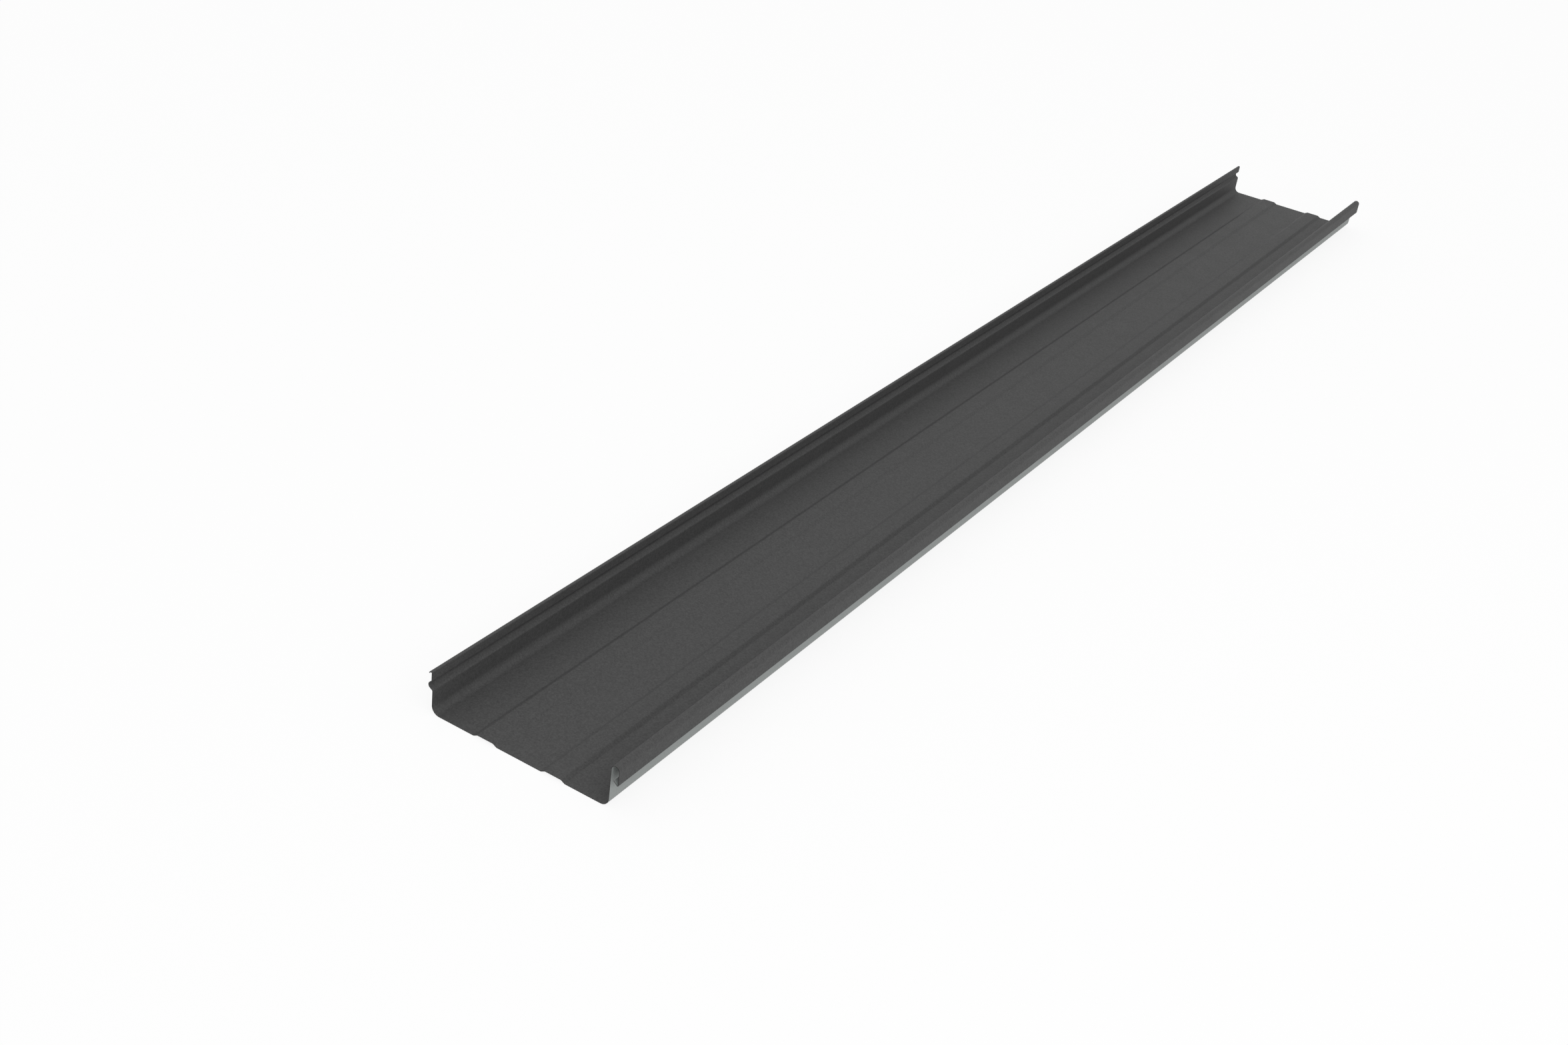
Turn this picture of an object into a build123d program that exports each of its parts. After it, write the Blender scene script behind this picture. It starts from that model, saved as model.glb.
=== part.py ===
"""Standing seam roofing sheet, roll-formed from one strip of painted steel.

A pan with two flat ribs lies between a male leg, on the -X side, and a hooked
female leg, on the +X side. The hook of one sheet snaps over the male leg of the
next, so that the sheets repeat at the cover width.

Millimetres. X runs across the sheet, Y along it and Z up. The origin is on the
underside of the pan, at the middle of the cover width and of the length.
"""

import os
from math import atan2, radians, tan

from build123d import *

# Whole sheet
sheet_length = 1980.0
cover_width = 200.0  # from the back of one male leg to the back of the next
seam_height = 45.9
sheet_thickness = 0.8
seam_gap = 1.8  # between the backs of the two legs in a seam
pan_bend_radius = 8.8  # inside the metal's back, as are the other bend radii

# Two stiffening ribs, pressed up out of the pan
rib_spacing = 76.0
rib_base_width = 26.2
rib_top_width = 17.5
rib_height = 2.3
rib_bend_radius = 2.5

# Height of the bead on the male leg, and of the toe that snaps into it
snap_height = 29.8

# Male leg: a straight foot, a bead bulging outwards, a stepped neck and a lip with its edge turned down
bead_depth = 4.8
bead_foot_drop = 5.1  # from the snap height down to the foot of the bead
bead_head_rise = 4.9  # and up to its head
bead_nose_land = 4.1
bead_bend_radius = 1.2
neck_step = 1.4  # outwards from the foot of the leg
lip_clearance = 0.8  # between the top of the lip and the inside of the hook
lip_reach = 3.8  # outwards from the foot of the leg to the end of the turned edge
lip_edge_slant = 0.7  # of the turned edge, outwards
lip_edge_drop = 1.4
lip_bend_radius = 0.45

# Female leg: a straight leg, a round hook, a straight return and a toe folded in and up
hook_width = 9.3  # over both outer faces
toe_throat = 3.4  # between the back of the leg and the end of the toe
toe_angle = 42.0  # degrees up from level
toe_bend_radius = 0.5

# Bends that share a flat stop just short of meeting on it
full_round = 0.98

# Places across the sheet, on the back of the metal
male_back = -cover_width / 2
neck_back = male_back - neck_step
bead_nose = male_back - bead_depth
lip_tip = male_back - lip_reach
lip_fold = lip_tip + lip_edge_slant
female_back = cover_width / 2 - seam_gap
return_back = female_back + hook_width - 2 * sheet_thickness
toe_tip = female_back + toe_throat

# Heights on the back of the metal
hook_inside = seam_height - sheet_thickness
lip_height = hook_inside - lip_clearance - sheet_thickness
bead_foot = snap_height - bead_foot_drop
bead_head = snap_height + bead_head_rise
nose_bottom = snap_height - bead_nose_land / 2
nose_top = snap_height + bead_nose_land / 2
toe_height = snap_height + sheet_thickness
toe_fold = toe_height - (return_back - toe_tip) * tan(radians(toe_angle))

# The bead's nose and the top of the hook are as round as their flats allow
foot_turn = atan2(bead_depth, nose_bottom - bead_foot)
head_turn = atan2(bead_depth - neck_step, bead_head - nose_top)
nose_radius = full_round * bead_nose_land / (tan(foot_turn / 2) + tan(head_turn / 2))
hook_radius = full_round * (return_back - female_back) / 2


def rib_bends(centre):
    """The four corners of one rib, each with its bend radius, from -X to +X."""
    half_base = rib_base_width / 2
    half_top = rib_top_width / 2
    return [
        ((centre - half_base, 0), rib_bend_radius),
        ((centre - half_top, rib_height), rib_bend_radius),
        ((centre + half_top, rib_height), rib_bend_radius),
        ((centre + half_base, 0), rib_bend_radius),
    ]


# The corners of the metal's back from the lip to the toe, each with its bend radius
lip_end = (lip_tip, lip_height - lip_edge_drop)
male_leg = [
    ((lip_fold, lip_height), lip_bend_radius),
    ((neck_back, lip_height), lip_bend_radius),
    ((neck_back, bead_head), bead_bend_radius),
    ((bead_nose, nose_top), nose_radius),
    ((bead_nose, nose_bottom), nose_radius),
    ((male_back, bead_foot), bead_bend_radius),
    ((male_back, 0), pan_bend_radius),
]
ribs = rib_bends(-rib_spacing / 2) + rib_bends(rib_spacing / 2)
female_leg = [
    ((female_back, 0), pan_bend_radius),
    ((female_back, hook_inside), hook_radius),
    ((return_back, hook_inside), hook_radius),
    ((return_back, toe_fold), toe_bend_radius),
]
toe_end = (toe_tip, toe_height)
bends = male_leg + ribs + female_leg

# The section is the line of the back, thickened towards the painted side
with BuildPart() as roofing_sheet:
    with BuildSketch(Plane.XZ) as section:
        with BuildLine() as outline:
            FilletPolyline(
                lip_end,
                *[corner for corner, radius in bends],
                toe_end,
                radius=[radius for corner, radius in bends],
            )
            offset(amount=sheet_thickness, side=Side.LEFT, mode=Mode.ADD)
        make_face()
    extrude(amount=sheet_length / 2, both=True)

roofing_sheet.part.label = "roofing_sheet"
os.makedirs("parts", exist_ok=True)
export_step(roofing_sheet.part, "parts/roofing_sheet.step")
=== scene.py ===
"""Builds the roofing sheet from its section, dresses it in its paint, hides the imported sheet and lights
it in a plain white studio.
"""

from math import atan2, ceil, cos, radians, sin, tan

import bpy
from mathutils import Matrix, Vector


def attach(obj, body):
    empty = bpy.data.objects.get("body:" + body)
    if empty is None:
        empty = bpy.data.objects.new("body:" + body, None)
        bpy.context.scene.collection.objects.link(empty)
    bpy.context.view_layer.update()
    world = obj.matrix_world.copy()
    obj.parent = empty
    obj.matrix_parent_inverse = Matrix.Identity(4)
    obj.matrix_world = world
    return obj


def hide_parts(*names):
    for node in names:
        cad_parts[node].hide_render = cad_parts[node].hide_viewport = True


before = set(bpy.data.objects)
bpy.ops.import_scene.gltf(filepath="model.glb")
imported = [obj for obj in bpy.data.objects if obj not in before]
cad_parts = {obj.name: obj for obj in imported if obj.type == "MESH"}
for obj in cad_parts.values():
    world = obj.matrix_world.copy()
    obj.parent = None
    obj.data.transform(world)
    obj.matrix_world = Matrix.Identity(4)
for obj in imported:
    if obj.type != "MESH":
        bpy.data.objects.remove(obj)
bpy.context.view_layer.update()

MM = 0.001

# The section of the sheet, in millimetres, as in the part's own source
sheet_length = 1980.0
cover_width = 200.0
seam_height = 45.9
sheet_thickness = 0.8
seam_gap = 1.8
pan_bend_radius = 8.8
rib_spacing = 76.0
rib_base_width = 26.2
rib_top_width = 17.5
rib_height = 2.3
rib_bend_radius = 2.5
snap_height = 29.8
bead_depth = 4.8
bead_foot_drop = 5.1
bead_head_rise = 4.9
bead_nose_land = 4.1
bead_bend_radius = 1.2
neck_step = 1.4
lip_clearance = 0.8
lip_reach = 3.8
lip_edge_slant = 0.7
lip_edge_drop = 1.4
lip_bend_radius = 0.45
hook_width = 9.3
toe_throat = 3.4
toe_angle = 42.0
toe_bend_radius = 0.5
full_round = 0.98

# How finely the mesh follows the bends and the length
finest_turn = radians(5.0)
fewest_bend_steps = 4
length_steps = 36

# Where each material lies in the sheet's list
painted_slot = 0
back_slot = 1
cut_slot = 2

# The camera, as the photograph's outline gives it, in metres
camera_place = Vector((0.81474, -2.05225, 1.03782))
camera_right = Vector((0.833151, 0.539663, 0.120925))
camera_down = Vector((0.361591, -0.366102, -0.857452))
camera_lens = 43.9501  # millimetres, as is the sensor
sensor_width = 36.0
nearest_seen = 0.05
farthest_seen = 100.0

# The middle part of a noise texture's values, which spread() uses
noise_low = 0.3
noise_high = 0.7

# The coats' texture: noise scales are in features per metre, roughly
grain_scale = 520.0
grain_detail = 3.0
grain_fall = 0.75
cloud_scale = 28.0
cloud_detail = 3.0
streak_scale = 160.0
streak_detail = 2.0
streak_stretch = (1.0, 0.012, 1.0)
roughness_swing = 0.03

# The sheared edges
shear_scale = 900.0
shear_detail = 2.0
shear_stretch = (1.0, 0.15, 1.0)
shear_dark = 0.015
shear_light = 0.035
shear_metallic = 0.35
shear_roughness = 0.5

# The floor, the world and the softbox, in metres and watts
floor_size = 30.0
floor_drop = 0.0001
floor_grey = 0.9
floor_white_share = 0.86
world_light = 0.875
world_white = 1.0
softbox_size = 3.0
softbox_place = Vector((2.2, -1.9, 2.6))
softbox_watts = 30.0


def section_corners():
    """The corners of the metal's back from the lip to the toe, each with its bend radius."""
    male_back = -cover_width / 2
    neck_back = male_back - neck_step
    bead_nose = male_back - bead_depth
    lip_tip = male_back - lip_reach
    lip_fold = lip_tip + lip_edge_slant
    female_back = cover_width / 2 - seam_gap
    return_back = female_back + hook_width - 2 * sheet_thickness
    toe_tip = female_back + toe_throat
    hook_inside = seam_height - sheet_thickness
    lip_height = hook_inside - lip_clearance - sheet_thickness
    bead_foot = snap_height - bead_foot_drop
    bead_head = snap_height + bead_head_rise
    nose_bottom = snap_height - bead_nose_land / 2
    nose_top = snap_height + bead_nose_land / 2
    toe_height = snap_height + sheet_thickness
    toe_fold = toe_height - (return_back - toe_tip) * tan(radians(toe_angle))
    foot_turn = atan2(bead_depth, nose_bottom - bead_foot)
    head_turn = atan2(bead_depth - neck_step, bead_head - nose_top)
    nose_radius = full_round * bead_nose_land / (tan(foot_turn / 2) + tan(head_turn / 2))
    hook_radius = full_round * (return_back - female_back) / 2
    corners = [
        ((lip_tip, lip_height - lip_edge_drop), 0.0),
        ((lip_fold, lip_height), lip_bend_radius),
        ((neck_back, lip_height), lip_bend_radius),
        ((neck_back, bead_head), bead_bend_radius),
        ((bead_nose, nose_top), nose_radius),
        ((bead_nose, nose_bottom), nose_radius),
        ((male_back, bead_foot), bead_bend_radius),
        ((male_back, 0.0), pan_bend_radius),
    ]
    for centre in (-rib_spacing / 2, rib_spacing / 2):
        half_base = rib_base_width / 2
        half_top = rib_top_width / 2
        corners += [
            ((centre - half_base, 0.0), rib_bend_radius),
            ((centre - half_top, rib_height), rib_bend_radius),
            ((centre + half_top, rib_height), rib_bend_radius),
            ((centre + half_base, 0.0), rib_bend_radius),
        ]
    corners += [
        ((female_back, 0.0), pan_bend_radius),
        ((female_back, hook_inside), hook_radius),
        ((return_back, hook_inside), hook_radius),
        ((return_back, toe_fold), toe_bend_radius),
        ((toe_tip, toe_height), 0.0),
    ]
    return [(Vector(place), radius) for place, radius in corners]


def bend_points(before, corner, after, radius):
    """Points of one bend's back, each with the direction from the back to the painted face."""
    start_way = (corner - before).normalized()
    end_way = (after - corner).normalized()
    turn = atan2(start_way.x * end_way.y - start_way.y * end_way.x, start_way.dot(end_way))
    side = 1.0 if turn > 0 else -1.0
    start = corner - start_way * radius * tan(abs(turn) / 2)
    centre = start + Vector((-start_way.y, start_way.x)) * radius * side
    steps = max(fewest_bend_steps, ceil(abs(turn) / finest_turn))
    points = []
    for step in range(steps + 1):
        angle = turn * step / steps
        way_x = start_way.x * cos(angle) - start_way.y * sin(angle)
        way_y = start_way.x * sin(angle) + start_way.y * cos(angle)
        outwards = Vector((-way_y, way_x))
        points.append((centre - outwards * radius * side, outwards))
    return points


def section_points():
    """The rounded back of the metal from the lip's end to the toe's, and the way it runs at both."""
    corners = section_corners()
    first, second = corners[0][0], corners[1][0]
    last_but_one, last = corners[-2][0], corners[-1][0]
    lip_way = (second - first).normalized()
    toe_way = (last - last_but_one).normalized()
    points = [(first, Vector((-lip_way.y, lip_way.x)))]
    for (before, _), (corner, radius), (after, _) in zip(corners, corners[1:], corners[2:]):
        points += bend_points(before, corner, after, radius)
    points.append((last, Vector((-toe_way.y, toe_way.x))))
    return points, lip_way, toe_way


def make_sheet(paint, back_coat, cut_edge):
    """The sheet as one closed mesh: painted face, back and cut edges, with smooth bends."""
    points, lip_way, toe_way = section_points()
    count = len(points)
    vertices = []
    for row in range(length_steps + 1):
        along = (row / length_steps - 0.5) * sheet_length
        for place, outwards in points:
            painted = place + outwards * sheet_thickness
            vertices.append((painted.x * MM, along * MM, painted.y * MM))
        for place, outwards in points:
            vertices.append((place.x * MM, along * MM, place.y * MM))
    faces = []
    slots = []
    normals = []

    def add(corners, slot, directions):
        faces.append(corners)
        slots.append(slot)
        normals.extend(directions)

    ways = [Vector((outwards.x, 0.0, outwards.y)) for _, outwards in points]
    edge_ways = {0: Vector((-lip_way.x, 0.0, -lip_way.y)), count - 1: Vector((toe_way.x, 0.0, toe_way.y))}
    for row in range(length_steps):
        near = row * 2 * count
        far = near + 2 * count
        for i in range(count - 1):
            here = ways[i]
            there = ways[i + 1]
            painted_face = (near + i, near + i + 1, far + i + 1, far + i)
            add(painted_face, painted_slot, (here, there, there, here))
            near_back = near + count + i
            far_back = far + count + i
            back_face = (near_back, far_back, far_back + 1, near_back + 1)
            add(back_face, back_slot, (-here, -here, -there, -there))
        for i, way in edge_ways.items():
            ring = (near + i, far + i, far + count + i, near + count + i)
            add(ring if i == 0 else ring[::-1], cut_slot, (way,) * 4)
    end_ways = {0: Vector((0.0, -1.0, 0.0)), length_steps: Vector((0.0, 1.0, 0.0))}
    for row, way in end_ways.items():
        base = row * 2 * count
        for i in range(count - 1):
            ring = (base + i, base + count + i, base + count + i + 1, base + i + 1)
            add(ring if row == 0 else ring[::-1], cut_slot, (way,) * 4)
    mesh = bpy.data.meshes.new("sheet_skin")
    mesh.from_pydata(vertices, [], faces)
    for material in (paint, back_coat, cut_edge):
        mesh.materials.append(material)
    mesh.polygons.foreach_set("material_index", slots)
    mesh.polygons.foreach_set("use_smooth", [True] * len(faces))
    mesh.normals_split_custom_set([tuple(direction) for direction in normals])
    mesh.validate()
    sheet = bpy.data.objects.new("sheet_skin", mesh)
    bpy.context.scene.collection.objects.link(sheet)
    return sheet


def new_material(name):
    """A material with its node tree and its shader."""
    material = bpy.data.materials.new(name)
    material.use_nodes = True
    tree = material.node_tree
    return material, tree, tree.nodes["Principled BSDF"]


def noise(tree, scale, detail, stretch=(1.0, 1.0, 1.0), fall=0.5):
    """A noise texture in the sheet's own metres; fall is how strong each finer layer is."""
    place = tree.nodes.new("ShaderNodeTexCoord")
    mapping = tree.nodes.new("ShaderNodeMapping")
    mapping.inputs["Scale"].default_value = stretch
    texture = tree.nodes.new("ShaderNodeTexNoise")
    texture.inputs["Scale"].default_value = scale
    texture.inputs["Detail"].default_value = detail
    texture.inputs["Roughness"].default_value = fall
    tree.links.new(place.outputs["Object"], mapping.inputs["Vector"])
    tree.links.new(mapping.outputs["Vector"], texture.inputs["Vector"])
    return texture.outputs["Fac"]


def spread(tree, value, low, high):
    """Maps the middle of a noise onto the range from low to high."""
    node = tree.nodes.new("ShaderNodeMapRange")
    node.inputs["From Min"].default_value = noise_low
    node.inputs["From Max"].default_value = noise_high
    node.inputs["To Min"].default_value = low
    node.inputs["To Max"].default_value = high
    tree.links.new(value, node.inputs["Value"])
    return node.outputs["Result"]


def multiply(tree, first, second):
    """The product of two values."""
    node = tree.nodes.new("ShaderNodeMath")
    node.operation = "MULTIPLY"
    tree.links.new(first, node.inputs[0])
    tree.links.new(second, node.inputs[1])
    return node.outputs["Value"]


def coat_material(name, colour, grain, mottle, rolling, roughness, grain_height):
    """A roller-applied coat: fine grain, with faint clouding, and faint streaks along the length."""
    material, tree, shader = new_material(name)
    fine = noise(tree, grain_scale, grain_detail, fall=grain_fall)
    cloud = noise(tree, cloud_scale, cloud_detail)
    streak = noise(tree, streak_scale, streak_detail, streak_stretch)
    grain_tone = spread(tree, fine, 1 - grain, 1 + grain)
    cloud_tone = spread(tree, cloud, 1 - mottle, 1 + mottle)
    streak_tone = spread(tree, streak, 1 - rolling, 1 + rolling)
    tone = multiply(tree, multiply(tree, grain_tone, cloud_tone), streak_tone)
    tint = tree.nodes.new("ShaderNodeVectorMath")
    tint.operation = "SCALE"
    tint.inputs[0].default_value = colour
    tree.links.new(tone, tint.inputs["Scale"])
    tree.links.new(tint.outputs["Vector"], shader.inputs["Base Color"])
    cloud_roughness = spread(tree, cloud, roughness - roughness_swing, roughness + roughness_swing)
    tree.links.new(cloud_roughness, shader.inputs["Roughness"])
    bump = tree.nodes.new("ShaderNodeBump")
    bump.inputs["Distance"].default_value = grain_height
    bump.inputs["Strength"].default_value = 1.0
    tree.links.new(fine, bump.inputs["Height"])
    tree.links.new(bump.outputs["Normal"], shader.inputs["Normal"])
    return material, shader


paint, paint_shader = coat_material(
    "dark_grey_paint",
    colour=(0.064, 0.064, 0.064),
    grain=0.26,
    mottle=0.012,
    rolling=0.008,
    roughness=0.62,
    grain_height=0.00005,
)
paint_shader.inputs["Specular IOR Level"].default_value = 0.16

back_coat, back_shader = coat_material(
    "pale_back_coat",
    colour=(0.285, 0.302, 0.296),
    grain=0.06,
    mottle=0.02,
    rolling=0.02,
    roughness=0.5,
    grain_height=0.00001,
)
back_shader.inputs["Specular IOR Level"].default_value = 0.1

cut_edge, cut_tree, cut_shader = new_material("cut_edge")
shear_noise = noise(cut_tree, shear_scale, shear_detail, shear_stretch)
shear = spread(cut_tree, shear_noise, shear_dark, shear_light)
shear_tint = cut_tree.nodes.new("ShaderNodeCombineColor")
for channel in ("Red", "Green", "Blue"):
    cut_tree.links.new(shear, shear_tint.inputs[channel])
cut_tree.links.new(shear_tint.outputs["Color"], cut_shader.inputs["Base Color"])
cut_shader.inputs["Metallic"].default_value = shear_metallic
cut_shader.inputs["Roughness"].default_value = shear_roughness

sheet = make_sheet(paint, back_coat, cut_edge)
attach(sheet, "root")
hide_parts("roofing_sheet")


def seen_directly(tree):
    """One for what the camera sees, also in reflections and glass, and nought for light on the object."""
    path = tree.nodes.new("ShaderNodeLightPath")
    seen = path.outputs["Is Camera Ray"]
    for ray in ("Is Glossy Ray", "Is Transmission Ray"):
        either = tree.nodes.new("ShaderNodeMath")
        either.operation = "MAXIMUM"
        tree.links.new(seen, either.inputs[0])
        tree.links.new(path.outputs[ray], either.inputs[1])
        seen = either.outputs["Value"]
    return seen


def white_for_camera(tree, shader_output, surface, share):
    """Mixes plain white into what the camera and reflections see of a surface, and keeps its shadows."""
    part = tree.nodes.new("ShaderNodeMath")
    part.operation = "MULTIPLY"
    part.inputs[1].default_value = share
    tree.links.new(seen_directly(tree), part.inputs[0])
    glow = tree.nodes.new("ShaderNodeEmission")
    glow.inputs["Color"].default_value = (1.0, 1.0, 1.0, 1.0)
    glow.inputs["Strength"].default_value = 1.0
    mix = tree.nodes.new("ShaderNodeMixShader")
    tree.links.new(part.outputs["Value"], mix.inputs["Fac"])
    tree.links.new(shader_output, mix.inputs[1])
    tree.links.new(glow.outputs["Emission"], mix.inputs[2])
    tree.links.new(mix.outputs["Shader"], surface)


floor_mesh = bpy.data.meshes.new("floor")
half_floor = floor_size / 2
floor_mesh.from_pydata(
    [
        (-half_floor, -half_floor, -floor_drop),
        (half_floor, -half_floor, -floor_drop),
        (half_floor, half_floor, -floor_drop),
        (-half_floor, half_floor, -floor_drop),
    ],
    [],
    [(0, 1, 2, 3)],
)
floor = bpy.data.objects.new("floor", floor_mesh)
bpy.context.scene.collection.objects.link(floor)
floor_material, floor_tree, floor_shader = new_material("pale_floor")
floor_shader.inputs["Base Color"].default_value = (floor_grey, floor_grey, floor_grey, 1.0)
floor_shader.inputs["Roughness"].default_value = 1.0
floor_shader.inputs["Specular IOR Level"].default_value = 0.0
floor_surface = floor_tree.nodes["Material Output"].inputs["Surface"]
white_for_camera(floor_tree, floor_shader.outputs["BSDF"], floor_surface, floor_white_share)
floor_mesh.materials.append(floor_material)

world = bpy.data.worlds.new("studio")
bpy.context.scene.world = world
world.use_nodes = True
background = world.node_tree.nodes["Background"]
background.inputs["Color"].default_value = (1.0, 1.0, 1.0, 1.0)
level = world.node_tree.nodes.new("ShaderNodeMapRange")
level.inputs["To Min"].default_value = world_light
level.inputs["To Max"].default_value = world_white
world.node_tree.links.new(seen_directly(world.node_tree), level.inputs["Value"])
world.node_tree.links.new(level.outputs["Result"], background.inputs["Strength"])

softbox_data = bpy.data.lights.new("softbox", "AREA")
softbox_data.shape = "SQUARE"
softbox_data.size = softbox_size
softbox_data.energy = softbox_watts
softbox = bpy.data.objects.new("softbox", softbox_data)
softbox.location = softbox_place
softbox.rotation_euler = (-softbox_place).to_track_quat("-Z", "Y").to_euler()
bpy.context.scene.collection.objects.link(softbox)

camera_data = bpy.data.cameras.new("camera")
camera_data.lens = camera_lens
camera_data.sensor_width = sensor_width
camera_data.sensor_fit = "HORIZONTAL"
camera_data.clip_start = nearest_seen
camera_data.clip_end = farthest_seen
camera = bpy.data.objects.new("camera", camera_data)
bpy.context.scene.collection.objects.link(camera)
camera_back = camera_right.cross(-camera_down)
turn = Matrix((camera_right, -camera_down, camera_back)).transposed()
camera.matrix_world = Matrix.Translation(camera_place) @ turn.to_4x4()
bpy.context.scene.camera = camera

bpy.context.scene.view_settings.view_transform = "Standard"
